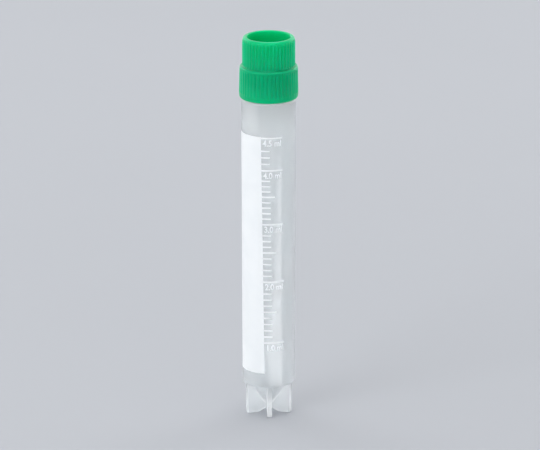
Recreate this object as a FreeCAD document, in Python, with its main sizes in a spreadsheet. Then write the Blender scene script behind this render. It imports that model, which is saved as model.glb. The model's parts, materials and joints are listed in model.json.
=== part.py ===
import FreeCAD, Part
import os
import re

import Sketcher

# A 5 ml self-standing cryogenic vial with its screw cap, in millimetres.
# +Z is up. The origin is on the vial's axis, on the surface that the foot stands on.
#
# Three pieces come apart on the bench:
#   vial       one injection moulding: tube, threaded neck, conical bottom and star foot
#   seal_ring  a flat silicone washer that lies in the cap and meets the vial's rim
#   screw_cap  one moulding: ribbed skirt, narrower ribbed crown with an open recess, inside thread

# Each size that can be set by itself has one cell, and every sketch and feature is tied to the cells.
SIZES = {
    # tube
    "tube_top_diameter": 12.5,
    "tube_foot_diameter": 12.1,
    "shoulder_height": 75.7,
    "shoulder_round": 0.4,
    "wall_at_top": 1.28,
    "wall_at_bottom": 1.45,
    # conical bottom, with the same slope inside and outside
    "cone_half_angle": 31.5,
    "cone_root_round": 0.8,
    "heel_width": 1.95,
    "heel_rise": 0.8,
    "heel_round": 0.5,
    "tip_height": 1.1,
    "tip_radius": 0.6,
    "floor_thickness": 1.75,
    "bore_tip_radius": 0.5,
    "bore_corner_round": 2.0,
    # neck
    "neck_step": 1.25,
    "neck_height": 6.3,
    "neck_wall": 0.7,
    "neck_chamfer": 0.2,
    "throat_below_shoulder": 4.0,
    "throat_length": 5.5,
    "throat_round": 3.0,
    # star foot
    "fin_count": 5,
    "fin_first_turn": -16.0,
    "fin_thickness": 1.2,
    "fin_inset": 0.6,
    "fin_corner_round": 0.45,
    "fin_root_round": 0.3,
    "fin_end_round": 0.25,
    "hollow_radius": 2.9,
    "hollow_top_radius": 0.4,
    "hollow_height": 1.2,
    # two-start thread
    "thread_starts": 2,
    "thread_lead": 6.0,
    "thread_depth": 0.45,
    "thread_foot_width": 1.3,
    "thread_crest_width": 0.6,
    "thread_clearance": 0.22,
    "thread_sink": 0.2,
    "neck_thread_inset": 1.5,
    "neck_thread_rise": 4.0,
    "cap_thread_rise": 3.4,
    # cap
    "cap_gap": 0.25,
    "skirt_wall": 1.0,
    "skirt_swell": 0.08,
    "skirt_lean": 0.06,
    "skirt_above_ceiling": 0.42,
    "skirt_round": 0.5,
    "skirt_mouth_chamfer": 0.3,
    "skirt_foot_round": 0.25,
    "plain_band_height": 1.35,
    "web_thickness": 1.4,
    "crown_step": 0.64,
    "crown_height": 6.68,
    "rim_wall": 1.09,
    "rim_lean": 0.25,
    "rim_lean_height": 1.2,
    "rim_outer_round": 0.55,
    "rim_inner_round": 0.25,
    "recess_floor_chamfer": 0.4,
    # ribs, made by the grooves between them
    "rib_count": 45,
    "groove_first_turn": 4.0,
    "skirt_groove_depth": 0.26,
    "crown_groove_depth": 0.2,
    "groove_mouth_width": 0.6,
    "groove_floor_width": 0.2,
    "rib_end_inset": 0.8,
    # seal
    "seal_thickness": 0.9,
    "seal_face_gap": 0.05,
    "seal_side_gap": 0.12,
    "plug_inset": 0.9,
    "plug_depth": 1.6,
    "plug_chamfer": 0.4,
}

# Places that follow from the cells, written as expressions of them.
TUBE_RADIUS = "tube_top_diameter / 2"
FOOT_RADIUS = "tube_foot_diameter / 2"
BORE_TOP_RADIUS = f"({TUBE_RADIUS} - wall_at_top)"
BORE_BOTTOM_RADIUS = f"({FOOT_RADIUS} - wall_at_bottom)"
CONE_SLOPE = "tan(cone_half_angle * 1 deg)"
CONE_TOP_RADIUS = f"({FOOT_RADIUS} - heel_width)"
CONE_TOP_HEIGHT = f"(tip_height + ({CONE_TOP_RADIUS} - tip_radius) / {CONE_SLOPE})"
HEEL_HEIGHT = f"({CONE_TOP_HEIGHT} + heel_rise)"
BORE_TIP_HEIGHT = "(tip_height + floor_thickness)"
BORE_CONE_HEIGHT = f"({BORE_TIP_HEIGHT} + ({BORE_BOTTOM_RADIUS} - bore_tip_radius) / {CONE_SLOPE})"
THROAT_HEIGHT = "(shoulder_height - throat_below_shoulder)"
BORE_TOP_HEIGHT = f"({THROAT_HEIGHT} - throat_length)"
NECK_RADIUS = f"({TUBE_RADIUS} - neck_step)"
NECK_BORE_RADIUS = f"({NECK_RADIUS} - neck_wall)"
NECK_TOP = "(shoulder_height + neck_height)"
FIN_RADIUS = f"({FOOT_RADIUS} - fin_inset)"

CAP_FOOT = "(shoulder_height + cap_gap)"
CAVITY_RADIUS = f"({NECK_RADIUS} + thread_depth + thread_clearance)"
CAP_THREAD_CREST = f"({NECK_RADIUS} + thread_clearance)"
SKIRT_RADIUS = f"({CAVITY_RADIUS} + skirt_wall)"
RIB_RADIUS = f"({SKIRT_RADIUS} + skirt_swell)"
SHOULDER_RADIUS = f"({SKIRT_RADIUS} - skirt_lean)"
BAND_TOP = f"({CAP_FOOT} + plain_band_height)"
CEILING = f"({NECK_TOP} + seal_thickness + 2 * seal_face_gap)"
SKIRT_TOP = f"({CEILING} + skirt_above_ceiling)"
CROWN_RADIUS = f"({SKIRT_RADIUS} - crown_step)"
CAP_TOP = f"({SKIRT_TOP} + crown_height)"
RIM_RADIUS = f"({CROWN_RADIUS} - rim_lean)"
RECESS_RADIUS = f"({CROWN_RADIUS} - rim_wall)"
RECESS_FLOOR = f"({CEILING} + web_thickness)"
PLUG_RADIUS = f"({NECK_BORE_RADIUS} - plug_inset)"
PLUG_FOOT = f"({CEILING} - plug_depth)"

# The neck's ridge and the cap's ridge keep this distance along the axis, measured between centres:
# half of each ridge at mid depth, and the clearance between the flanks that pull the cap down.
RIDGE_SPACING = "((thread_foot_width + thread_crest_width) / 2 + thread_clearance)"
NECK_THREAD_START = "(shoulder_height + neck_thread_inset)"
QUARTER_TURN_RISE = "thread_lead / 4"
CAP_THREAD_START = f"({NECK_THREAD_START} - {RIDGE_SPACING} + {QUARTER_TURN_RISE})"

doc = FreeCAD.newDocument("Cryovial")
sheet = doc.addObject("Spreadsheet::Sheet", "Sizes")
for row, (alias, value) in enumerate(SIZES.items(), start=1):
    sheet.set(f"A{row}", alias)
    sheet.set(f"B{row}", str(value))
    sheet.setAlias(f"B{row}", alias)
doc.recompute()


def tied(text):
    """Point each size's plain name in an expression at its cell."""
    return re.sub(r"[a-z_]+", lambda word: f"Sizes.{word[0]}" if word[0] in SIZES else word[0], text)


def number(text):
    """The value that an expression of the cells has now."""
    return float(sheet.evalExpression(tied(text)))


def origin_item(body, role):
    return next(item for item in body.Origin.OriginFeatures if item.Role == role)


def new_body(label):
    body = doc.addObject("PartDesign::Body", label)
    body.Label = label
    body.Placement = FreeCAD.Placement()
    return body


def new_sketch(body, name, plane, height="", turn=""):
    """A sketch on an origin plane of the body.

    height lifts a sketch on the XY plane. turn swings the sketch about the body's Z axis.
    """
    sketch = body.newObject("Sketcher::SketchObject", name)
    sketch.AttachmentSupport = (origin_item(body, plane), [""])
    sketch.MapMode = "FlatFace"
    up = FreeCAD.Vector(0, 0, 1) if plane == "XY_Plane" else FreeCAD.Vector(0, 1, 0)
    sketch.AttachmentOffset = FreeCAD.Placement(FreeCAD.Vector(), FreeCAD.Rotation(up, 1))
    sketch.setExpression(".AttachmentOffset.Rotation.Angle", tied(turn) if turn else "0")
    if height:
        sketch.setExpression(".AttachmentOffset.Base.z", tied(height))
    return sketch


def hold(sketch, line, direction, on_axis, text):
    """Hold a line's start point at a distance along one direction, or on the axis itself."""
    value = number(text)
    if value == 0:
        sketch.addConstraint(Sketcher.Constraint("PointOnObject", line, 1, on_axis))
        return
    sketch.addConstraint(Sketcher.Constraint(direction, -1, 1, line, 1, value))
    sketch.setExpression(f"Constraints[{sketch.ConstraintCount - 1}]", tied(text))


def outline(sketch, corners):
    """Close a straight-sided outline through corners, each a pair of expressions."""
    points = [FreeCAD.Vector(number(across), number(along), 0) for across, along in corners]
    following = points[1:] + points[:1]
    for start, end in zip(points, following):
        sketch.addGeometry(Part.LineSegment(start, end))
    for line in range(len(points)):
        next_line = (line + 1) % len(points)
        sketch.addConstraint(Sketcher.Constraint("Coincident", line, 2, next_line, 1))
    for line, (across, along) in enumerate(corners):
        hold(sketch, line, "DistanceX", -2, across)
        hold(sketch, line, "DistanceY", -1, along)


def finished(body, feature):
    body.Tip = feature
    doc.recompute()
    return feature


def turned(body, kind, name, corners):
    """Revolve an outline of radii and heights about the axis: a Revolution adds, a Groove cuts."""
    sketch = new_sketch(body, f"{name}_outline", "XZ_Plane")
    outline(sketch, corners)
    doc.recompute()
    feature = body.newObject(f"PartDesign::{kind}", name)
    feature.Profile = sketch
    feature.ReferenceAxis = (sketch, ["V_Axis"])
    feature.Angle = 360
    return finished(body, feature)


def ringed(body, name, original, count, turn=360):
    """Repeat a feature evenly round the Z axis."""
    pattern = body.newObject("PartDesign::PolarPattern", name)
    pattern.Originals = [original]
    pattern.Axis = (origin_item(body, "Z_Axis"), [""])
    pattern.Angle = turn
    pattern.setExpression("Occurrences", tied(count))
    return finished(body, pattern)


def rings(shape, radius, height):
    """Names of the shape's circular edges of this radius, at this height on the axis."""
    names = []
    for place, edge in enumerate(shape.Edges, start=1):
        curve = edge.Curve
        if not isinstance(curve, Part.Circle):
            continue
        near = abs(curve.Radius - number(radius)) + abs(curve.Center.z - number(height))
        if near < 1e-4:
            names.append(f"Edge{place}")
    return names


def rounded(body, name, size, edges):
    """Fillet named edges of the body as it stands."""
    base = body.Tip
    feature = body.newObject("PartDesign::Fillet", name)
    feature.Base = (base, edges)
    feature.setExpression("Radius", tied(size))
    return finished(body, feature)


def rounded_rings(body, name, size, places):
    """Fillet circular edges, each given as a radius and a height."""
    edges = [edge for radius, height in places for edge in rings(body.Tip.Shape, radius, height)]
    return rounded(body, name, size, edges)


def ridge(body, name, plane, root, crest, start, rise):
    """A two-start ridge of trapezium section that climbs round the axis from root to crest."""
    sketch = new_sketch(body, f"{name}_section", plane)
    outline(sketch, [
        (root, f"{start} - thread_foot_width / 2"),
        (crest, f"{start} - thread_crest_width / 2"),
        (crest, f"{start} + thread_crest_width / 2"),
        (root, f"{start} + thread_foot_width / 2"),
    ])
    doc.recompute()
    helix = body.newObject("PartDesign::AdditiveHelix", name)
    helix.Profile = sketch
    helix.ReferenceAxis = (sketch, ["V_Axis"])
    helix.Mode = "pitch-height-angle"
    helix.setExpression("Pitch", tied("thread_lead"))
    helix.setExpression("Height", tied(rise))
    finished(body, helix)
    return ringed(body, f"{name}_starts", helix, "thread_starts")


def is_fin_side(face):
    """Whether a face is one of the upright flanks of a fin."""
    if not isinstance(face.Surface, Part.Plane) or abs(face.Surface.Axis.z) > 1e-6:
        return False
    off_axis = abs(face.Surface.Axis.dot(face.Surface.Position))
    return abs(off_axis - number("fin_thickness") / 2) < 1e-4


def fin_edges(shape, wanted):
    """Names of the edges that a test picks from each edge's middle and the faces beside it."""
    names = []
    for place, edge in enumerate(shape.Edges, start=1):
        middle = edge.CenterOfMass
        reach = (middle.x ** 2 + middle.y ** 2) ** 0.5
        faces = shape.ancestorsOfType(edge, Part.Face)
        if wanted(reach, middle.z, faces):
            names.append(f"Edge{place}")
    return names


def across_fin_corner(reach, height, faces):
    """The short lower edge at a fin's outer end."""
    return abs(height) < 1e-4 and abs(reach - number(FIN_RADIUS)) < 1e-4


def along_fin_end(reach, height, faces):
    """The two long edges of a fin's outer end, with the rounded corner below them."""
    on_end = reach > number(FIN_RADIUS) - number("fin_corner_round")
    flat_or_corner = all(isinstance(face.Surface, (Part.Plane, Part.Cylinder)) for face in faces)
    return on_end and flat_or_corner and any(is_fin_side(face) for face in faces)


def at_fin_root(reach, height, faces):
    """Where a fin's flank runs into the conical bottom, the heel or the next fin."""
    flanks = sum(is_fin_side(face) for face in faces)
    between_fins = flanks == 2 and height > 0
    meets_bottom = flanks == 1 and height > number("tip_height")
    turned_face = any(not isinstance(face.Surface, Part.Plane) for face in faces)
    return between_fins or (meets_bottom and turned_face)


def make_vial():
    body = new_body("vial")
    turned(body, "Revolution", "tube", [
        ("0", "tip_height"),
        ("tip_radius", "tip_height"),
        (CONE_TOP_RADIUS, CONE_TOP_HEIGHT),
        (FOOT_RADIUS, HEEL_HEIGHT),
        (TUBE_RADIUS, "shoulder_height"),
        (NECK_RADIUS, "shoulder_height"),
        (NECK_RADIUS, f"{NECK_TOP} - neck_chamfer"),
        (f"{NECK_RADIUS} - neck_chamfer", NECK_TOP),
        ("0", NECK_TOP),
    ])
    rounded_rings(body, "heel_edge", "heel_round", [(FOOT_RADIUS, HEEL_HEIGHT)])
    rounded_rings(body, "cone_root", "cone_root_round", [(CONE_TOP_RADIUS, CONE_TOP_HEIGHT)])
    rounded_rings(body, "shoulder_edge", "shoulder_round", [(TUBE_RADIUS, "shoulder_height")])

    # The star foot: upright fins that run into the conical bottom, standing on their lower edges.
    fin_sketch = new_sketch(body, "fin_outline", "XZ_Plane", turn="fin_first_turn")
    outline(fin_sketch, [
        ("0", "0"),
        (FIN_RADIUS, "0"),
        (FIN_RADIUS, f"{HEEL_HEIGHT} + heel_rise"),
        ("0", f"{HEEL_HEIGHT} + heel_rise"),
    ])
    doc.recompute()
    fin = body.newObject("PartDesign::Pad", "fin")
    fin.Profile = fin_sketch
    fin.Midplane = True
    fin.setExpression("Length", tied("fin_thickness"))
    finished(body, fin)
    ringed(body, "star_foot", fin, "fin_count")
    corners = fin_edges(body.Tip.Shape, across_fin_corner)
    rounded(body, "fin_corners", "fin_corner_round", corners)
    roots = fin_edges(body.Tip.Shape, at_fin_root)
    rounded(body, "fin_roots", "fin_root_round", roots)
    ends = fin_edges(body.Tip.Shape, along_fin_end)
    rounded(body, "fin_ends", "fin_end_round", ends)
    turned(body, "Groove", "foot_hollow", [
        ("0", "0"),
        ("hollow_radius", "0"),
        ("hollow_top_radius", "hollow_height"),
        ("0", "hollow_height"),
    ])

    ridge(body, "neck_thread", "XZ_Plane", f"{NECK_RADIUS} - thread_sink",
          f"{NECK_RADIUS} + thread_depth", NECK_THREAD_START, "neck_thread_rise")

    turned(body, "Groove", "bore", [
        ("0", BORE_TIP_HEIGHT),
        ("bore_tip_radius", BORE_TIP_HEIGHT),
        (BORE_BOTTOM_RADIUS, BORE_CONE_HEIGHT),
        (BORE_TOP_RADIUS, BORE_TOP_HEIGHT),
        (NECK_BORE_RADIUS, THROAT_HEIGHT),
        (NECK_BORE_RADIUS, f"{NECK_TOP} - neck_chamfer"),
        (f"{NECK_BORE_RADIUS} + neck_chamfer", NECK_TOP),
        ("0", NECK_TOP),
    ])
    rounded_rings(body, "bore_corner", "bore_corner_round", [(BORE_BOTTOM_RADIUS, BORE_CONE_HEIGHT)])
    rounded_rings(body, "throat_edges", "throat_round", [
        (BORE_TOP_RADIUS, BORE_TOP_HEIGHT),
        (NECK_BORE_RADIUS, THROAT_HEIGHT),
    ])
    return body


def cut_grooves(body, name, radius, depth, foot, length):
    """Cut the grooves that leave one tier's ribs standing, from foot upward."""
    sketch = new_sketch(body, f"{name}_section", "XY_Plane", height=foot, turn="groove_first_turn")
    outline(sketch, [
        (f"{radius} - {depth}", "-groove_floor_width / 2"),
        (f"{radius} + {depth}", "-groove_mouth_width"),
        (f"{radius} + {depth}", "groove_mouth_width"),
        (f"{radius} - {depth}", "groove_floor_width / 2"),
    ])
    doc.recompute()
    groove = body.newObject("PartDesign::Pocket", name)
    groove.Profile = sketch
    groove.Reversed = True
    groove.setExpression("Length", tied(length))
    finished(body, groove)
    return ringed(body, f"{name}s", groove, "rib_count")


def make_screw_cap():
    body = new_body("screw_cap")
    turned(body, "Revolution", "cap_blank", [
        ("0", CAP_FOOT),
        (SKIRT_RADIUS, CAP_FOOT),
        (RIB_RADIUS, BAND_TOP),
        (SHOULDER_RADIUS, SKIRT_TOP),
        (CROWN_RADIUS, SKIRT_TOP),
        (CROWN_RADIUS, f"{CAP_TOP} - rim_lean_height"),
        (RIM_RADIUS, CAP_TOP),
        ("0", CAP_TOP),
    ])
    rounded_rings(body, "skirt_edge", "skirt_round", [(SHOULDER_RADIUS, SKIRT_TOP)])
    rounded_rings(body, "skirt_foot_edge", "skirt_foot_round", [(SKIRT_RADIUS, CAP_FOOT)])
    rounded_rings(body, "rim_outer_edge", "rim_outer_round", [(RIM_RADIUS, CAP_TOP)])
    cut_grooves(body, "skirt_groove", RIB_RADIUS, "skirt_groove_depth",
                BAND_TOP, f"{SKIRT_TOP} - rib_end_inset - {BAND_TOP}")
    cut_grooves(body, "crown_groove", CROWN_RADIUS, "crown_groove_depth",
                SKIRT_TOP, "crown_height - rib_end_inset")

    turned(body, "Groove", "recess", [
        ("0", RECESS_FLOOR),
        (f"{RECESS_RADIUS} - recess_floor_chamfer", RECESS_FLOOR),
        (RECESS_RADIUS, f"{RECESS_FLOOR} + recess_floor_chamfer"),
        (RECESS_RADIUS, CAP_TOP),
        ("0", CAP_TOP),
    ])
    rounded_rings(body, "rim_inner_edge", "rim_inner_round", [(RECESS_RADIUS, CAP_TOP)])

    # The cavity over the neck, with a plug in the middle that the seal lies round.
    turned(body, "Groove", "cavity", [
        ("0", CAP_FOOT),
        (f"{CAVITY_RADIUS} + skirt_mouth_chamfer", CAP_FOOT),
        (CAVITY_RADIUS, f"{CAP_FOOT} + skirt_mouth_chamfer"),
        (CAVITY_RADIUS, CEILING),
        (PLUG_RADIUS, CEILING),
        (PLUG_RADIUS, f"{PLUG_FOOT} + plug_chamfer"),
        (f"{PLUG_RADIUS} - plug_chamfer", PLUG_FOOT),
        ("0", PLUG_FOOT),
    ])
    ridge(body, "cap_thread", "YZ_Plane", f"{CAVITY_RADIUS} + thread_sink",
          CAP_THREAD_CREST, CAP_THREAD_START, "cap_thread_rise")
    return body


def make_seal_ring():
    body = new_body("seal_ring")
    inner = f"({PLUG_RADIUS} + seal_side_gap)"
    outer = f"({CAVITY_RADIUS} - seal_side_gap)"
    foot = f"({NECK_TOP} + seal_face_gap)"
    top = f"({foot} + seal_thickness)"
    turned(body, "Revolution", "washer", [(inner, foot), (outer, foot), (outer, top), (inner, top)])
    return body


parts = [make_vial(), make_seal_ring(), make_screw_cap()]
doc.recompute()

for item in doc.Objects:
    failed = {"Invalid", "Error"}.intersection(item.State)
    if failed:
        raise RuntimeError(f"{item.Name} is {failed}")
for body in parts:
    if body.Shape.isNull() or not body.Shape.isValid():
        raise RuntimeError(f"{body.Label} has no valid shape")

os.makedirs("parts", exist_ok=True)
for body in parts:
    body.Shape.exportStep(f"parts/{body.Label}.step")
    box = body.Shape.BoundBox
    print(f"{body.Label}: {len(body.Shape.Solids)} solid, {body.Shape.Volume:.1f} mm3, "
          f"z {box.ZMin:.2f} to {box.ZMax:.2f}, {box.XLength:.2f} by {box.YLength:.2f} mm")
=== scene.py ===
# %% [markdown]
# # A 5 ml cryogenic vial with a screw cap
#
# The real vial has three moulded pieces and some white print. The tube is injection moulded in natural
# polypropylene, which is cloudy and lets light through. It stands on five fins, and its neck has an
# outside thread. The cap is green polypropylene, ribbed for gloved fingers, and a silicone washer in
# it seals against the tube's rim.
#
# The frame already holds the right solids. Two roads lead from there to a finished picture: give a
# solid a better material, or model the piece again with the softness that moulding gives it. The
# tube's solid has every fillet of the star foot, so it stays. The cap and the washer are modelled
# again, because a moulded rib runs out softly and a silicone edge is never sharp. The print is new.

# %% The frame
import json
import math

import bmesh
import bpy
from mathutils import Matrix, Vector


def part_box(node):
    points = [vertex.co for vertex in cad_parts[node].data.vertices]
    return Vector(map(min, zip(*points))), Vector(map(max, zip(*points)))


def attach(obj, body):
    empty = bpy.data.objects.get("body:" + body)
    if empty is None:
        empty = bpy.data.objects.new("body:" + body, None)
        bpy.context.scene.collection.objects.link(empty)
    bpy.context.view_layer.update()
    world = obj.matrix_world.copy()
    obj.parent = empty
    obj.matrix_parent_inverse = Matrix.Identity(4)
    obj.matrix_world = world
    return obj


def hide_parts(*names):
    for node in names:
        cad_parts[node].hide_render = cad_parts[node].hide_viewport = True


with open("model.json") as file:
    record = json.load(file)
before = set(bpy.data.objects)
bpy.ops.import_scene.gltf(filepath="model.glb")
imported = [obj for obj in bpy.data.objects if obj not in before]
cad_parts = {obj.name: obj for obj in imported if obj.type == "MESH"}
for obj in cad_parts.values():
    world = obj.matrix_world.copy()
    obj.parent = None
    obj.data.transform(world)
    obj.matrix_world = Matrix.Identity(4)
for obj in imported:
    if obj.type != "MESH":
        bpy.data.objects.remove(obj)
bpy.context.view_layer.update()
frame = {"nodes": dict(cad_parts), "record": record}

MM = 0.001
cap_low, cap_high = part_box("screw_cap")
seal_low, seal_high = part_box("seal_ring")
print("cap from", round(cap_low.z / MM, 2), "to", round(cap_high.z / MM, 2), "mm")

# %% [markdown]
# ## Outlines and turning
#
# A cap and a washer are turned shapes: one outline swept round an axis. In the editor that is a
# profile curve with a Screw modifier. Here the outline is a row of vertices in a bmesh, and the spin
# operator sweeps it, because the vertices stay at hand for the ribs that come next.
#
# No moulded corner is sharp, so each corner of an outline carries the radius of its round, and a short
# helper lays an arc there. It slides the arc's centre along the line that halves the corner. Sizes are
# millimetres until the vertices are made.

# %% Round the corners of an outline
ARC_STEPS = 6


def rounded_outline(corners):
    """Points along an outline of (radius, height, round) corners, with an arc at each round corner."""
    points = []
    for place, (radius, height, round_size) in enumerate(corners):
        here = Vector((radius, height))
        if round_size == 0:
            points.append(here)
            continue
        back = (Vector(corners[place - 1][:2]) - here).normalized()
        ahead = (Vector(corners[(place + 1) % len(corners)][:2]) - here).normalized()
        half_angle = back.angle(ahead) / 2
        centre = here + (back + ahead).normalized() * round_size / math.sin(half_angle)
        reach = round_size / math.tan(half_angle)
        start = (here + back * reach - centre).normalized()
        end = (here + ahead * reach - centre).normalized()
        for step in range(ARC_STEPS + 1):
            points.append(centre + start.slerp(end, step / ARC_STEPS) * round_size)
    return points


# %% Turn an outline into a closed skin
WELD = 1e-7


def turned(outline, steps):
    """A bmesh in metres of an outline in millimetres, spun a full turn about Z."""
    bm = bmesh.new()
    row = [bm.verts.new((radius * MM, 0, height * MM)) for radius, height in outline]
    line = [bm.edges.new(pair) for pair in zip(row, row[1:])]
    bmesh.ops.spin(bm, geom=row + line, cent=(0, 0, 0), axis=(0, 0, 1), angle=math.tau,
                   steps=steps, use_merge=True)
    bmesh.ops.remove_doubles(bm, verts=bm.verts, dist=WELD)
    bmesh.ops.recalc_face_normals(bm, faces=bm.faces)
    return bm


# %% [markdown]
# ## Finishing a piece
#
# Every new piece ends the same way. Its bmesh becomes a mesh on an object at the origin, it is shaded
# smooth except where two faces meet at a steep angle, and it is tied to the body that carries it. A
# thin film of ink needs that steep-angle rule most: smooth shading would roll its flat face over its
# cut edge, and a straight band of white would look like a pillow.

# %% Tie a piece to its body
SHARP_ANGLE = math.radians(50)


def finished_piece(name, bm, material, body):
    """Turn a bmesh into a smooth piece that rides on a body of the frame."""
    mesh = bpy.data.meshes.new(name)
    bm.to_mesh(mesh)
    bm.free()
    mesh.shade_smooth()
    mesh.set_sharp_from_angle(angle=SHARP_ANGLE)
    mesh.materials.append(material)
    piece = bpy.data.objects.new(name, mesh)
    bpy.context.scene.collection.objects.link(piece)
    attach(piece, body)
    print(name, "has", len(mesh.polygons), "faces")
    return piece


# %% [markdown]
# ## What moulded plastic has in common
#
# Each finish starts from one Principled shader, fed by procedural noise on Object coordinates, so the
# pattern belongs to the moulding and turns with it. Three things vary. A slow cloud shifts the colour
# between two near tones, because pigment never mixes quite evenly. The same cloud drifts the
# roughness, as the flow in a mould would. A fine grain gives the bump of a spark-eroded mould. An
# image texture could do all three, but noise has no seams and no resolution to run out of.

# %% A cloudy, grained plastic
CLOUD_DETAIL = 3
CLOUD_EDGES = (0.35, 0.65)
GRAIN_DETAIL = 2


def cloudy_plastic(name, tones, cloud_scale, roughness, grain_scale, grain_height):
    """A material and its shader, with drifting colour and roughness and a fine grain."""
    material = bpy.data.materials.new(name)
    material.use_nodes = True
    tree = material.node_tree
    shader = tree.nodes["Principled BSDF"]
    place = tree.nodes.new("ShaderNodeTexCoord").outputs["Object"]

    cloud = tree.nodes.new("ShaderNodeTexNoise")
    cloud.inputs["Scale"].default_value = cloud_scale
    cloud.inputs["Detail"].default_value = CLOUD_DETAIL
    tree.links.new(place, cloud.inputs["Vector"])
    colour = tree.nodes.new("ShaderNodeValToRGB")
    for element, position, tone in zip(colour.color_ramp.elements, CLOUD_EDGES, tones):
        element.position = position
        element.color = (*tone, 1)
    tree.links.new(cloud.outputs["Fac"], colour.inputs["Fac"])
    tree.links.new(colour.outputs["Color"], shader.inputs["Base Color"])

    polish = tree.nodes.new("ShaderNodeMapRange")
    polish.inputs["To Min"].default_value = roughness[0]
    polish.inputs["To Max"].default_value = roughness[1]
    tree.links.new(cloud.outputs["Fac"], polish.inputs["Value"])
    tree.links.new(polish.outputs["Result"], shader.inputs["Roughness"])

    grain = tree.nodes.new("ShaderNodeTexNoise")
    grain.inputs["Scale"].default_value = grain_scale
    grain.inputs["Detail"].default_value = GRAIN_DETAIL
    tree.links.new(place, grain.inputs["Vector"])
    bump = tree.nodes.new("ShaderNodeBump")
    bump.inputs["Distance"].default_value = grain_height * MM
    tree.links.new(grain.outputs["Fac"], bump.inputs["Height"])
    tree.links.new(bump.outputs["Normal"], shader.inputs["Normal"])
    return material, shader


# %% [markdown]
# ## Natural polypropylene
#
# The tube's plastic has no pigment. Light goes through it, but crystals in it scatter the light, so
# the far wall is a blur. Two shaders share the work instead. Principled transmission with some
# roughness is the blurred see-through part, and a Translucent shader is the part that glows with the
# light behind it.
#
# The plastic isn't hazy everywhere. The star foot is clear, the haze comes in gradually above it, and
# the outer ends of the fins are whiter. A likely reason is the mould: a polished insert for the foot,
# and an eroded cavity for the body and the fins' ends. Both values, the haze and the fins' ends, are
# worked out from Object coordinates, and they drive how clear, how polished and how glowing the
# plastic is.
#
# Towards the neck the tube's base colour is scaled down, as painted shade for the cap above it, so
# the tone falls with the height. Over all of it lies a thin glossy coat, which
# stands for a moulded skin that is smoother than the crystals under it.

# %% Values that change along the tube
def ramp(tree, value, from_range, to_range):
    """A value carried from one range to another, and held at the ends, by a Map Range node."""
    node = tree.nodes.new("ShaderNodeMapRange")
    for side, number in zip(("From Min", "From Max", "To Min", "To Max"), (*from_range, *to_range)):
        node.inputs[side].default_value = number
    tree.links.new(value, node.inputs["Value"])
    return node.outputs["Result"]


def combine(tree, operation, first, second):
    """Two values joined by one operation of the Math node."""
    node = tree.nodes.new("ShaderNodeMath")
    node.operation = operation
    tree.links.new(first, node.inputs[0])
    tree.links.new(second, node.inputs[1])
    return node.outputs["Value"]


def place_on_tube(tree):
    """The three Object coordinates of a point on the tube."""
    parts = tree.nodes.new("ShaderNodeSeparateXYZ")
    tree.links.new(tree.nodes.new("ShaderNodeTexCoord").outputs["Object"], parts.inputs["Vector"])
    return parts.outputs


# %% Where the tube is hazy
CLEAR_TO_HAZY = (3 * MM, 18 * MM)
FIN_FADE = (3.5 * MM, 8 * MM)
FIN_END = (5.1 * MM, 5.35 * MM)


def haze_on_tube(tree, parts):
    """Two values: the haze of the body, and 1 on the outer ends of the fins."""
    square_x = combine(tree, "MULTIPLY", parts["X"], parts["X"])
    square_y = combine(tree, "MULTIPLY", parts["Y"], parts["Y"])
    square = combine(tree, "ADD", square_x, square_y)
    in_body = ramp(tree, parts["Z"], CLEAR_TO_HAZY, (0, 1))
    in_foot = ramp(tree, parts["Z"], FIN_FADE, (1, 0))
    far_out = ramp(tree, square, (FIN_END[0] ** 2, FIN_END[1] ** 2), (0, 1))
    return in_body, combine(tree, "MULTIPLY", in_foot, far_out)


# %% Let light through a wall
def let_light_through(tree, shader, colour):
    """Mix in a Translucent shader, which carries the light from behind a wall."""
    glow = tree.nodes.new("ShaderNodeBsdfTranslucent")
    glow.inputs["Color"].default_value = (*colour, 1)
    mix = tree.nodes.new("ShaderNodeMixShader")
    tree.links.new(shader.outputs["BSDF"], mix.inputs[1])
    tree.links.new(glow.outputs["BSDF"], mix.inputs[2])
    tree.links.new(mix.outputs["Shader"], tree.nodes["Material Output"].inputs["Surface"])
    return mix.inputs["Fac"]


# %% Paint shade on the tube under its cap
# Heights and tone of the painted shade under the cap.
UNDER_CAP_SHADE_SPAN = (64 * MM, 73 * MM)
UNDER_CAP_SHADE_TONE = 0.88


def paint_shade_under_cap(tree, shader, height):
    """Scale the shader's base colour down over the tube's last stretch, as painted shade under the
    cap.
    """
    painted_shade = tree.nodes.new("ShaderNodeVectorMath")
    painted_shade.operation = "SCALE"
    tree.links.new(shader.inputs["Base Color"].links[0].from_socket, painted_shade.inputs[0])
    tree.links.new(ramp(tree, height, UNDER_CAP_SHADE_SPAN, (1, UNDER_CAP_SHADE_TONE)), painted_shade.inputs["Scale"])
    tree.links.new(painted_shade.outputs["Vector"], shader.inputs["Base Color"])


# %% The tube's plastic
CLARITY = (0.93, 0.85)
FIN_END_CLARITY = 0.45
POLISH = (0.5, 1)
GLOW = (0.32, 0.33)
GLOW_TONE = (0.965, 0.985, 1)


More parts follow.
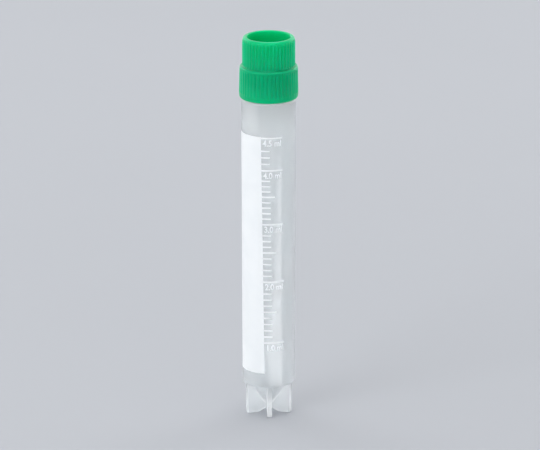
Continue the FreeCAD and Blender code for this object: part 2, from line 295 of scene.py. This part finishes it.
def natural_polypropylene():
    material, shader = cloudy_plastic(
        "natural_polypropylene", tones=((0.96, 0.99, 0.995), (1, 1, 1)), cloud_scale=160,
        roughness=(0.18, 0.26), grain_scale=2200, grain_height=0.004)
    shader.inputs["IOR"].default_value = 1.49
    shader.inputs["Coat Weight"].default_value = 1
    shader.inputs["Coat Roughness"].default_value = 0.07
    tree = material.node_tree
    parts = place_on_tube(tree)
    # Painted shade: the tube's colour is scaled down under the cap.
    paint_shade_under_cap(tree, shader, parts["Z"])
    haze, fin_end = haze_on_tube(tree, parts)
    matt = combine(tree, "MAXIMUM", haze, fin_end)
    clarity = combine(tree, "MINIMUM", ramp(tree, haze, (0, 1), CLARITY),
                      ramp(tree, fin_end, (0, 1), (1, FIN_END_CLARITY)))
    tree.links.new(clarity, shader.inputs["Transmission Weight"])
    drifting = shader.inputs["Roughness"].links[0].from_socket
    polished = combine(tree, "MULTIPLY", drifting, ramp(tree, matt, (0, 1), POLISH))
    tree.links.new(polished, shader.inputs["Roughness"])
    share = let_light_through(tree, shader, GLOW_TONE)
    tree.links.new(ramp(tree, haze, (0, 1), GLOW), share)
    return material


natural = natural_polypropylene()
print("natural polypropylene has", len(natural.node_tree.nodes), "nodes")

# %% [markdown]
# ## Green polypropylene, silicone and ink
#
# The cap's plastic is pigmented, and thin enough that its walls still glow a little where light comes
# from behind. Subsurface scattering does that, with green travelling furthest. Its gloss is tinted
# green, because much of what looks like a reflection on such a cap has passed through the coloured
# skin, and a faint clear coat adds a trace of plain white. The washer is soft, milky silicone. The ink
# is a chalky white film, far more matt than the tube under it, and a little light from inside the tube
# comes through it.

# %% The cap's plastic
def green_polypropylene():
    material, shader = cloudy_plastic(
        "green_polypropylene", tones=((0, 0.335, 0.135), (0, 0.375, 0.16)), cloud_scale=140,
        roughness=(0.34, 0.46), grain_scale=1800, grain_height=0.006)
    shader.inputs["Specular IOR Level"].default_value = 0.2
    shader.inputs["Specular Tint"].default_value = (0.1, 1, 0.7, 1)
    shader.inputs["Coat Weight"].default_value = 0.1
    shader.inputs["Coat Roughness"].default_value = 0.15
    shader.inputs["Subsurface Weight"].default_value = 1
    shader.inputs["Subsurface Radius"].default_value = (0.2, 1, 0.7)
    shader.inputs["Subsurface Scale"].default_value = 4.2 * MM
    return material


green = green_polypropylene()
print("green polypropylene has", len(green.node_tree.nodes), "nodes")


# %% The washer's silicone
def milky_silicone():
    material, shader = cloudy_plastic(
        "milky_silicone", tones=((0.78, 0.78, 0.75), (0.84, 0.84, 0.81)), cloud_scale=300,
        roughness=(0.42, 0.55), grain_scale=2500, grain_height=0.003)
    shader.inputs["Subsurface Weight"].default_value = 0.6
    shader.inputs["Subsurface Radius"].default_value = (1, 1, 0.9)
    shader.inputs["Subsurface Scale"].default_value = 0.8 * MM
    return material


silicone = milky_silicone()
print("milky silicone has", len(silicone.node_tree.nodes), "nodes")


# %% The print's ink
INK_GLOW = 0.2
INK_GLOW_TONE = (0.97, 0.99, 1)


def white_ink():
    material, shader = cloudy_plastic(
        "white_ink", tones=((0.9, 0.925, 0.94), (0.94, 0.96, 0.97)), cloud_scale=260,
        roughness=(0.42, 0.58), grain_scale=5200, grain_height=0.006)
    let_light_through(material.node_tree, shader, INK_GLOW_TONE).default_value = INK_GLOW
    return material


ink = white_ink()
print("white ink has", len(ink.node_tree.nodes), "nodes")

# %% [markdown]
# ## The tube
#
# The tube keeps the frame's own solid: a thin, slightly tapered wall, a conical bottom, five fins that
# run into it and a two-start thread on the neck. It was cut from exact surfaces, so its shading is
# already smooth, and a remodelled copy could only lose something. It gets its finish and no more.

# %% Finish the tube
vial = frame["nodes"]["vial"]
vial.data.materials.clear()
vial.data.materials.append(natural)
print("tube keeps", len(vial.data.polygons), "faces of the frame")

# %% [markdown]
# ## The screw cap
#
# The cap is one moulding with two ribbed tiers. The wide skirt grips the neck, and the narrower crown
# stands above it round a deep recess, where a coloured insert can be pressed in. Under the ceiling a
# plug hangs into the tube's mouth, with the washer round it.
#
# All of it is one outline: up the recess, over the rim, down the crown, out over the shoulder, down
# the skirt, and back up inside to the plug. The box of the frame's cap gives its height and width,
# the washer's box gives the cavity, and the record gives the recess. A few points with no round lie
# on the straight walls: the rows of vertices that they turn into let the ribs fade out there.

# %% The cap's own sizes
SKIRT_SWELL = 0.08
SKIRT_LEAN = 0.06
CROWN_STEP = 0.64
CROWN_HEIGHT = 6.68
RIM_LEAN = 0.25
RIM_LEAN_HEIGHT = 1.2
BAND_HEIGHT = 1.35
WEB_THICKNESS = 1.4
PLUG_RADIUS = 3.4
PLUG_DEPTH = 1.6
SEAL_FACE_GAP = 0.05
SEAL_SIDE_GAP = 0.12

# %% Where the cap's faces lie in the frame
rib_radius = cap_high.y / MM
foot_radius = rib_radius - SKIRT_SWELL
shoulder_radius = foot_radius - SKIRT_LEAN
crown_radius = foot_radius - CROWN_STEP
rim_radius = crown_radius - RIM_LEAN
cap_foot = cap_low.z / MM
cap_top = cap_high.z / MM
band_top = cap_foot + BAND_HEIGHT
skirt_top = cap_top - CROWN_HEIGHT
rim_lean_foot = cap_top - RIM_LEAN_HEIGHT
ceiling = seal_high.z / MM + SEAL_FACE_GAP
cavity_radius = seal_high.x / MM + SEAL_SIDE_GAP
plug_foot = ceiling - PLUG_DEPTH
recess_floor = ceiling + WEB_THICKNESS
insert_recess = next(mount for mount in frame["record"]["mounts"] if mount["name"] == "insert_recess")
recess_radius = insert_recess["dims"]["r_mm"]
print("skirt", round(rib_radius, 2), "crown", round(crown_radius, 2), "recess", recess_radius, "mm")

# %% The cap's rounds
RECESS_FLOOR_ROUND = 0.4
RIM_INNER_ROUND = 0.25
RIM_OUTER_ROUND = 0.55
RIM_FOOT_ROUND = 2
CROWN_FOOT_ROUND = 0.12
SHOULDER_ROUND = 0.5
SKIRT_FOOT_ROUND = 0.45
CEILING_ROUND = 0.2
PLUG_ROUND = 0.4
SMALL_ROUND = 0.1
MOUTH_CHAMFER = 0.3

# %% The cap's outline
CROWN_ROW = 0.4
SKIRT_ROWS = (0.75, 0.95, 1.15)
BAND_ROW = 0.2
LEAN_STEP = 0.01

skirt_rows = [(shoulder_radius + LEAN_STEP * place, skirt_top - drop, 0)
              for place, drop in enumerate(SKIRT_ROWS, start=1)]
cap_outline = rounded_outline([
    (0, recess_floor, 0),
    (recess_radius, recess_floor, RECESS_FLOOR_ROUND),
    (recess_radius, cap_top, RIM_INNER_ROUND),
    (rim_radius, cap_top, RIM_OUTER_ROUND),
    (crown_radius, rim_lean_foot, RIM_FOOT_ROUND),
    (crown_radius, skirt_top + CROWN_ROW, 0),
    (crown_radius, skirt_top, CROWN_FOOT_ROUND),
    (shoulder_radius, skirt_top, SHOULDER_ROUND),
    *skirt_rows,
    (rib_radius, band_top + BAND_ROW, 0),
    (rib_radius, band_top, 0),
    (foot_radius, cap_foot, SKIRT_FOOT_ROUND),
    (cavity_radius + MOUTH_CHAMFER, cap_foot, SMALL_ROUND),
    (cavity_radius, cap_foot + MOUTH_CHAMFER, SMALL_ROUND),
    (cavity_radius, ceiling, CEILING_ROUND),
    (PLUG_RADIUS, ceiling, SMALL_ROUND),
    (PLUG_RADIUS, plug_foot, PLUG_ROUND),
    (0, plug_foot, 0),
])
print("the cap's outline has", len(cap_outline), "points")

# %% [markdown]
# ## Ribs
#
# Each tier has forty-five ribs. They could be cut by a boolean, one groove at a time, but the mould
# leaves no such crisp cuts: a rib's crest is a narrow flat, and the groove beside it is a soft valley.
# So the spun wall is dense enough to hold the ribs, and its vertices are pressed in towards a groove
# that is a formula of the angle. A vertex moves only if it lies outside the groove, so the grooves run
# out by themselves where the rim leans in. At the other ends a short run-out fades them.

# %% Press the ribs into a tier
RIB_COUNT = 45
STEPS_PER_RIB = 12
RIB_PITCH = math.tau / RIB_COUNT
CREST_SHARE = 0.22
VALLEY_STEEPNESS = 1.25
RUN_OUT = 0.3
WALL_REACH = 0.35
SKIRT_GROOVE_DEPTH = 0.26
SKIRT_GROOVE_END = 0.7
CROWN_GROOVE_DEPTH = 0.2
CROWN_GROOVE_START = 0.1
CROWN_GROOVE_END = 0.45


def valley(angle):
    """How far a groove has sunk at an angle: 0 on a rib's crest, 1 in the middle of the valley."""
    from_crest = abs((angle / RIB_PITCH + 0.5) % 1 - 0.5) * 2
    along_slope = max(0, (from_crest - CREST_SHARE) / (1 - CREST_SHARE))
    return 0.5 - 0.5 * math.cos(math.pi * min(1, along_slope * VALLEY_STEEPNESS))


def press_ribs(bm, crest_radius, depth, foot, top):
    """Press one tier's grooves into the outer wall between two heights."""
    for vertex in bm.verts:
        reach = vertex.co.xy.length / MM
        height = vertex.co.z / MM
        run_out = min(1, (height - foot) / RUN_OUT, (top - height) / RUN_OUT)
        if reach < crest_radius - WALL_REACH or run_out <= 0:
            continue
        sunk = crest_radius - depth * valley(math.atan2(vertex.co.y, vertex.co.x))
        pressed = reach + min(0, sunk - reach) * run_out
        vertex.co.xy *= pressed / reach


cap_mesh = turned(cap_outline, RIB_COUNT * STEPS_PER_RIB)
press_ribs(cap_mesh, rib_radius, SKIRT_GROOVE_DEPTH, foot=band_top, top=skirt_top - SKIRT_GROOVE_END)
press_ribs(cap_mesh, crown_radius, CROWN_GROOVE_DEPTH,
           foot=skirt_top + CROWN_GROOVE_START, top=cap_top - CROWN_GROOVE_END)
print("ribbed skin has", len(cap_mesh.faces), "faces")

# %% [markdown]
# ## The thread inside the cap
#
# Two ridges start on opposite sides of the cap's mouth and climb the wall steeply: a turn lifts the
# cap by six millimetres, and the threads let go before it is complete. A helix is a spin that also
# rises, and the spin operator takes that rise as its dvec. The section is spun as a face, its start is
# closed again, and both ends sink into the wall over a few degrees, as a moulded thread's do. Without
# the threads, a cap lifted off its tube would look like a lid.

# %% Climb the thread
THREAD_LEAD = 6
THREAD_RISE = 3.4
THREAD_STARTS = 2
FIRST_START = math.pi / 2
THREAD_STEPS = 72
THREAD_FADE = math.radians(14)
THREAD_DEPTH = 0.45
THREAD_SUNK = 0.2
ROOT_HALF_WIDTH = 0.65
CREST_HALF_WIDTH = 0.3
THREAD_START_HEIGHT = 1.58
LEAST_SHARE = 0.04
SEAM_SLACK = 0.01
thread_turn = math.tau * THREAD_RISE / THREAD_LEAD
thread_root = cavity_radius + THREAD_SUNK
thread_crest = cavity_radius - THREAD_DEPTH
thread_middle = cap_foot + THREAD_START_HEIGHT


def thread_ridge(first_angle):
    """One ridge of the inside thread, from its first angle upward."""
    bm = bmesh.new()
    section = rounded_outline([
        (thread_root, thread_middle - ROOT_HALF_WIDTH, 0),
        (thread_crest, thread_middle - CREST_HALF_WIDTH, SMALL_ROUND),
        (thread_crest, thread_middle + CREST_HALF_WIDTH, SMALL_ROUND),
        (thread_root, thread_middle + ROOT_HALF_WIDTH, 0),
    ])
    first = bm.faces.new([bm.verts.new((radius * MM, 0, height * MM)) for radius, height in section])
    bmesh.ops.spin(bm, geom=[first], cent=(0, 0, 0), axis=(0, 0, 1), angle=thread_turn,
                   dvec=(0, 0, THREAD_RISE * MM / THREAD_STEPS), steps=THREAD_STEPS)
    bmesh.ops.holes_fill(bm, edges=[edge for edge in bm.edges if edge.is_boundary])
    for vertex in bm.verts:
        angle = (math.atan2(vertex.co.y, vertex.co.x) + SEAM_SLACK) % math.tau - SEAM_SLACK
        stands = max(LEAST_SHARE, min(1, angle / THREAD_FADE, (thread_turn - angle) / THREAD_FADE))
        reach = vertex.co.xy.length / MM
        vertex.co.xy *= (thread_root + (reach - thread_root) * stands) / reach
    bmesh.ops.rotate(bm, cent=(0, 0, 0), matrix=Matrix.Rotation(first_angle, 3, "Z"), verts=bm.verts)
    bmesh.ops.recalc_face_normals(bm, faces=bm.faces)
    return bm


for start in range(THREAD_STARTS):
    ridge = thread_ridge(FIRST_START + math.tau * start / THREAD_STARTS)
    ridge_mesh = bpy.data.meshes.new("ridge")
    ridge.to_mesh(ridge_mesh)
    ridge.free()
    cap_mesh.from_mesh(ridge_mesh)
    bpy.data.meshes.remove(ridge_mesh)
cap = finished_piece("ribbed_cap", cap_mesh, green, "cap")
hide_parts("screw_cap")

# %% [markdown]
# ## The washer
#
# A flat ring lies against the ceiling, round the plug, and the tube's rim presses into it. Its outline
# is a closed loop, so the first point is given again at the end and the weld joins the seam. The frame
# gives it a body of its own, which rises with the cap and doesn't turn, because a plain ring looks the
# same at every angle.

# %% The washer
WASHER_ROUND = 0.15
WASHER_STEPS = 128
seal_inner = PLUG_RADIUS + SEAL_SIDE_GAP
seal_outline = rounded_outline([
    (seal_inner, seal_low.z / MM, WASHER_ROUND),
    (seal_high.x / MM, seal_low.z / MM, WASHER_ROUND),
    (seal_high.x / MM, seal_high.z / MM, WASHER_ROUND),
    (seal_inner, seal_high.z / MM, WASHER_ROUND),
])
seal_mesh = turned(seal_outline + seal_outline[:1], WASHER_STEPS)
washer = finished_piece("silicone_washer", seal_mesh, silicone, "seal")
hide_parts("seal_ring")

# %% [markdown]
# ## Where the print lies
#
# The print is a film of white ink on the tube. It could be painted by the tube's material, but a mask
# on a curved wall needs a map, and the film would have no edge of its own. So each mark is laid out
# flat, as on a printer's screen, with X along the surface, Y as the height and Z as the thickness. One
# function then wraps every layout round the tube. It follows the tube's draft, which is measured from
# the frame's mesh, and it lets the layout lean, as a screen that sat slightly askew would: the left
# and right edges drift round the tube from top to bottom.

# %% Measure the tube's skin
skin = [(vertex.co.z / MM, vertex.co.xy.length / MM) for vertex in vial.data.vertices]


def widest_between(low, high):
    """Height and radius of the widest vertex between two heights."""
    return max((place for place in skin if low < place[0] < high), key=lambda place: place[1])


LOW_RING = (11, 12)
HIGH_RING = (72, 73)
skin_low = widest_between(*LOW_RING)
skin_high = widest_between(*HIGH_RING)
draft = (skin_high[1] - skin_low[1]) / (skin_high[0] - skin_low[0])
print("the tube's wall leans out by", round(math.degrees(math.atan(draft)), 3), "degrees")


def tube_radius(height):
    """Radius of the tube's skin at a height."""
    return skin_low[1] + draft * (height - skin_low[0])


# %% Wrap a flat layout round the tube
INK_GAP = 0.01
INK_THICKNESS = 0.02
DRIFT_DEGREES = 7
DRIFT_HEIGHT = 52
PRINT_LEAN = math.radians(DRIFT_DEGREES / DRIFT_HEIGHT)
PRINT_MIDDLE = 39
PRINT_RADIUS = 6.15
FRONT = -math.pi / 2


def wrap(bm):
    """Bend a flat layout in millimetres round the tube, and turn it into metres."""
    for vertex in bm.verts:
        across, height, proud = vertex.co
        angle = FRONT + across / PRINT_RADIUS + PRINT_LEAN * (PRINT_MIDDLE - height)
        radius = tube_radius(height) + INK_GAP + proud
        vertex.co = Vector((radius * math.cos(angle), radius * math.sin(angle), height)) * MM


def along(degrees):
    """Length on the surface of an angle round the tube."""
    return math.radians(degrees) * PRINT_RADIUS


# %% [markdown]
# ## The writing panel
#
# A plain white field takes a pencilled label. It reaches more than a third of the way round. One grid
# operator lays it out, already divided finely enough to bend, and solidify gives the ink its
# thickness. The corners stay square.

# %% Lay a field of ink
STRIP_WIDTH = 0.22


def ink_field(bm, left, right, bottom, top, rows):
    """Add one flat field of ink, in strips that can bend."""
    strips = max(2, round((right - left) / STRIP_WIDTH))
    place = Matrix.Translation(((left + right) / 2, (bottom + top) / 2, 0))
    size = Matrix.Diagonal((right - left, top - bottom, 1, 1))
    bmesh.ops.create_grid(bm, x_segments=strips, y_segments=rows, size=0.5, matrix=place @ size)


def printed(name, bm):
    """Give a flat layout the ink's thickness, wrap it and finish it."""
    bmesh.ops.solidify(bm, geom=bm.faces, thickness=INK_THICKNESS)
    bmesh.ops.recalc_face_normals(bm, faces=bm.faces)
    wrap(bm)
    return finished_piece(name, bm, ink, "tube")


PANEL_LEFT = along(-153)
PANEL_RIGHT = along(-12.6)
PANEL_BOTTOM = 11.1
PANEL_TOP = 68.1
PANEL_ROWS = 40

panel = bmesh.new()
ink_field(panel, PANEL_LEFT, PANEL_RIGHT, PANEL_BOTTOM, PANEL_TOP, PANEL_ROWS)
printed("writing_panel", panel)

# %% [markdown]
# ## The volume scale
#
# Marks run up beside the panel, one for each tenth of a millilitre. Because the tube widens upward,
# the same volume takes a little less height, so the marks draw closer together, and a gentle quadratic
# gives each one its height. The last half millilitre has a wider spacing of its own. Whole millilitres
# and the full line are long, halves are middling, and the tenth under each long line is left out to
# make room for its number.

# %% Heights of the marks
FIRST_VOLUME = 1
LAST_WHOLE_VOLUME = 4
FIRST_MARK_HEIGHT = 18.6
FIRST_SPACING = 15.32
SPACING_LOSS = 0.49
LAST_SPACING = 15.32


def mark_height(volume):
    """Height of the mark for a volume in millilitres."""
    above = min(volume, LAST_WHOLE_VOLUME) - FIRST_VOLUME
    height = FIRST_MARK_HEIGHT + FIRST_SPACING * above - SPACING_LOSS * above ** 2
    return height + LAST_SPACING * max(0, volume - LAST_WHOLE_VOLUME)


# %% The marks
LONG_MARK = (along(45.5), 0.38)
MIDDLE_MARK = (along(28), 0.36)
SHORT_MARK = (along(18.5), 0.35)
NUMBERED = (10, 20, 30, 40, 45)
TENTHS = range(10, 46)

marks = bmesh.new()
for tenth in TENTHS:
    if tenth + 1 in NUMBERED:
        continue
    length, thickness = SHORT_MARK
    if tenth % 5 == 0:
        length, thickness = MIDDLE_MARK
    if tenth in NUMBERED:
        length, thickness = LONG_MARK
    height = mark_height(tenth / 10)
    ink_field(marks, left=PANEL_RIGHT, right=PANEL_RIGHT + length,
              bottom=height - thickness / 2, top=height + thickness / 2, rows=1)
printed("volume_marks", marks)

# %% [markdown]
# ## The numbers
#
# Each long line carries its volume under it. A text object gives the letters, and it is made a mesh
# before anything moves, because a wrapped text can't stay a text. Letters come as large flat faces
# that would cut through the tube if they were bent, so planes a third of a millimetre apart slice
# them first.

# %% One number as a flat mesh
NUMBER_SIZE = 2.05
NUMBER_NARROW = 0.84
NUMBER_BOLD = 0.035
NUMBER_INSET = 0.4
NUMBER_DROP = 1.88
SLICE = 0.35
LETTER_WELD = 1e-4
CUT_TOLERANCE = 1e-5


def flat_number(volume):
    """The letters of a volume, lying flat under its line."""
    curve = bpy.data.curves.new("letters", "FONT")
    curve.body = f"{volume:.1f} ml"
    curve.size = NUMBER_SIZE
    curve.offset = NUMBER_BOLD
    curve.extrude = INK_THICKNESS / 2
    holder = bpy.data.objects.new("letters", curve)
    bpy.context.scene.collection.objects.link(holder)
    bpy.context.view_layer.update()
    mesh = bpy.data.meshes.new_from_object(holder)
    bpy.data.objects.remove(holder)
    bpy.data.curves.remove(curve)
    across = PANEL_RIGHT + NUMBER_INSET
    place = Matrix.Translation((across, mark_height(volume) - NUMBER_DROP, INK_THICKNESS / 2))
    mesh.transform(place @ Matrix.Diagonal((NUMBER_NARROW, 1, 1, 1)))
    return mesh


# %% Slice and wrap the numbers
numbers = bmesh.new()
for tenth in NUMBERED:
    letters = flat_number(tenth / 10)
    numbers.from_mesh(letters)
    bpy.data.meshes.remove(letters)
bmesh.ops.remove_doubles(numbers, verts=numbers.verts, dist=LETTER_WELD)
cut = min(vertex.co.x for vertex in numbers.verts)
numbers_end = max(vertex.co.x for vertex in numbers.verts)
print("numbers are", round(numbers_end - cut, 2), "mm long")
while cut < numbers_end:
    everything = numbers.verts[:] + numbers.edges[:] + numbers.faces[:]
    bmesh.ops.bisect_plane(numbers, geom=everything, dist=CUT_TOLERANCE,
                           plane_co=(cut, 0, 0), plane_no=(1, 0, 0))
    cut += SLICE
wrap(numbers)
finished_piece("volume_numbers", numbers, ink, "tube")

# %% [markdown]
# ## The studio
#
# The vial stands on pale grey paper. Frosted plastic shows whatever is behind and around it, so the
# light has to come from everywhere. The world is a slightly cool dome, bright at the horizon and dark
# overhead, so that upright walls come out brighter than rims and ledges. Softboxes shape it: one on
# the left is the key, one overhead lights the rim and the recess, and two stand behind, so that light
# passes through the tube towards the eye.
#
# An upright wall seen from above mirrors the floor in front of it. So the long highlight down the
# tube needs a card that lies on the floor, and a strip that stands further off would show nothing. The
# card's right edge points at the vial, which makes that side of the highlight straight and crisp,
# while the other side widens downward. A second card at the left lightens the bare plastic under the
# cap. The cards, and a box in front that draws the light along the cap's rim, show in reflections
# only, so that they don't flatten the shading.

# %% Paper
def studio_paper():
    material, shader = cloudy_plastic(
        "studio_paper", tones=((0.485, 0.5, 0.535), (0.5, 0.515, 0.55)), cloud_scale=3,
        roughness=(0.6, 0.7), grain_scale=60, grain_height=0.05)
    shader.inputs["Specular IOR Level"].default_value = 0.2
    return material


PAPER_SIZE = 4
PAPER_DIVISIONS = 8

paper = bmesh.new()
bmesh.ops.create_grid(paper, x_segments=PAPER_DIVISIONS, y_segments=PAPER_DIVISIONS, size=PAPER_SIZE)
paper_mesh = bpy.data.meshes.new("studio_floor")
paper.to_mesh(paper_mesh)
paper.free()
paper_mesh.materials.append(studio_paper())
floor = bpy.data.objects.new("studio_floor", paper_mesh)
bpy.context.scene.collection.objects.link(floor)
print("the paper is", 2 * PAPER_SIZE, "m wide")

# %% Softboxes
AIM = Vector((0, 0, 0.045))
UP = Vector((0, 0, 1))


def softbox(name, place, width, height, power, aim=AIM):
    """A rectangular light that faces the vial, or another aim."""
    light = bpy.data.lights.new(name, "AREA")
    light.shape = "RECTANGLE"
    light.size = width
    light.size_y = height
    light.energy = power
    holder = bpy.data.objects.new(name, light)
    holder.location = place
    holder.rotation_euler = (aim - Vector(place)).to_track_quat("-Z", "Y").to_euler()
    holder.visible_camera = False
    bpy.context.scene.collection.objects.link(holder)
    print(name, "gives", power, "W")
    return holder


softbox("key_left", (-0.48, -0.45, 0.32), width=0.4, height=0.5, power=1.3)
softbox("top", (0, 0.1, 0.8), width=0.8, height=0.8, power=1.9)
softbox("back_left", (-0.45, 0.5, 0.35), width=0.4, height=0.5, power=0.85)
softbox("back_right", (0.45, 0.5, 0.35), width=0.4, height=0.5, power=0.85)


# %% Lights that show only as a sheen
CARD_HEIGHT = 0.002


def only_as_sheen(light):
    """Keep a light out of everything but reflections."""
    light.visible_diffuse = False
    light.visible_transmission = False


def shine_card(name, side, near, far, width, power):
    """A bright card on the floor, seen only as a sheen, whose right edge points at the vial."""
    away = Vector((math.sin(side), -math.cos(side), 0))
    leftward = Vector((-math.cos(side), -math.sin(side), 0))
    place = away * (near + far) / 2 + leftward * width / 2 + Vector((0, 0, CARD_HEIGHT))
    card = softbox(name, place, width, far - near, power, aim=place + UP)
    card.rotation_euler.z = side
    only_as_sheen(card)


only_as_sheen(softbox("rim_gloss", (0, -0.4, 0.7), width=0.6, height=0.3, power=6))
shine_card("card_right", math.radians(55), near=0.02, far=0.2, width=0.05, power=0.08)
shine_card("card_left", math.radians(-48), near=0.15, far=0.3, width=0.2, power=0.11)

# %% The dome
HORIZON = 2.1
ZENITH = 0.2
CLIMB = (0.1, 0.8)
DOME_TONE = (0.97, 0.985, 1, 1)

world = bpy.data.worlds.new("studio")
world.use_nodes = True
dome = world.node_tree
direction = dome.nodes.new("ShaderNodeTexCoord").outputs["Generated"]
parts = dome.nodes.new("ShaderNodeSeparateXYZ")
dome.links.new(direction, parts.inputs["Vector"])
background = dome.nodes["Background"]
background.inputs["Color"].default_value = DOME_TONE
dome.links.new(ramp(dome, parts.outputs["Z"], CLIMB, (HORIZON, ZENITH)), background.inputs["Strength"])
bpy.context.scene.world = world
bpy.context.scene.view_settings.view_transform = "Standard"

# %% [markdown]
# ## The camera
#
# A catalogue picture of something this slim is taken with a long lens from some way off, so that the
# vial's sides stay nearly parallel. The camera looks down by eighteen degrees, which opens the recess
# in the cap and shows the star foot from above.

# %% The camera
PITCH = math.radians(17.9)
DISTANCE = 0.9
LOOK_AT = Vector((0.0003, 0, 0.04525))
SENSOR = 36
LONG_LENS = 261.3
NEAREST = 0.01

camera_data = bpy.data.cameras.new("camera")
camera_data.sensor_width = SENSOR
camera_data.lens = LONG_LENS
camera_data.clip_start = NEAREST
camera = bpy.data.objects.new("camera", camera_data)
bpy.context.scene.collection.objects.link(camera)
look = Vector((0, math.cos(PITCH), -math.sin(PITCH)))
camera.location = LOOK_AT - DISTANCE * look
camera.rotation_euler = look.to_track_quat("-Z", "Y").to_euler()
bpy.context.scene.camera = camera
print("the camera looks down by", round(math.degrees(PITCH), 1), "degrees")
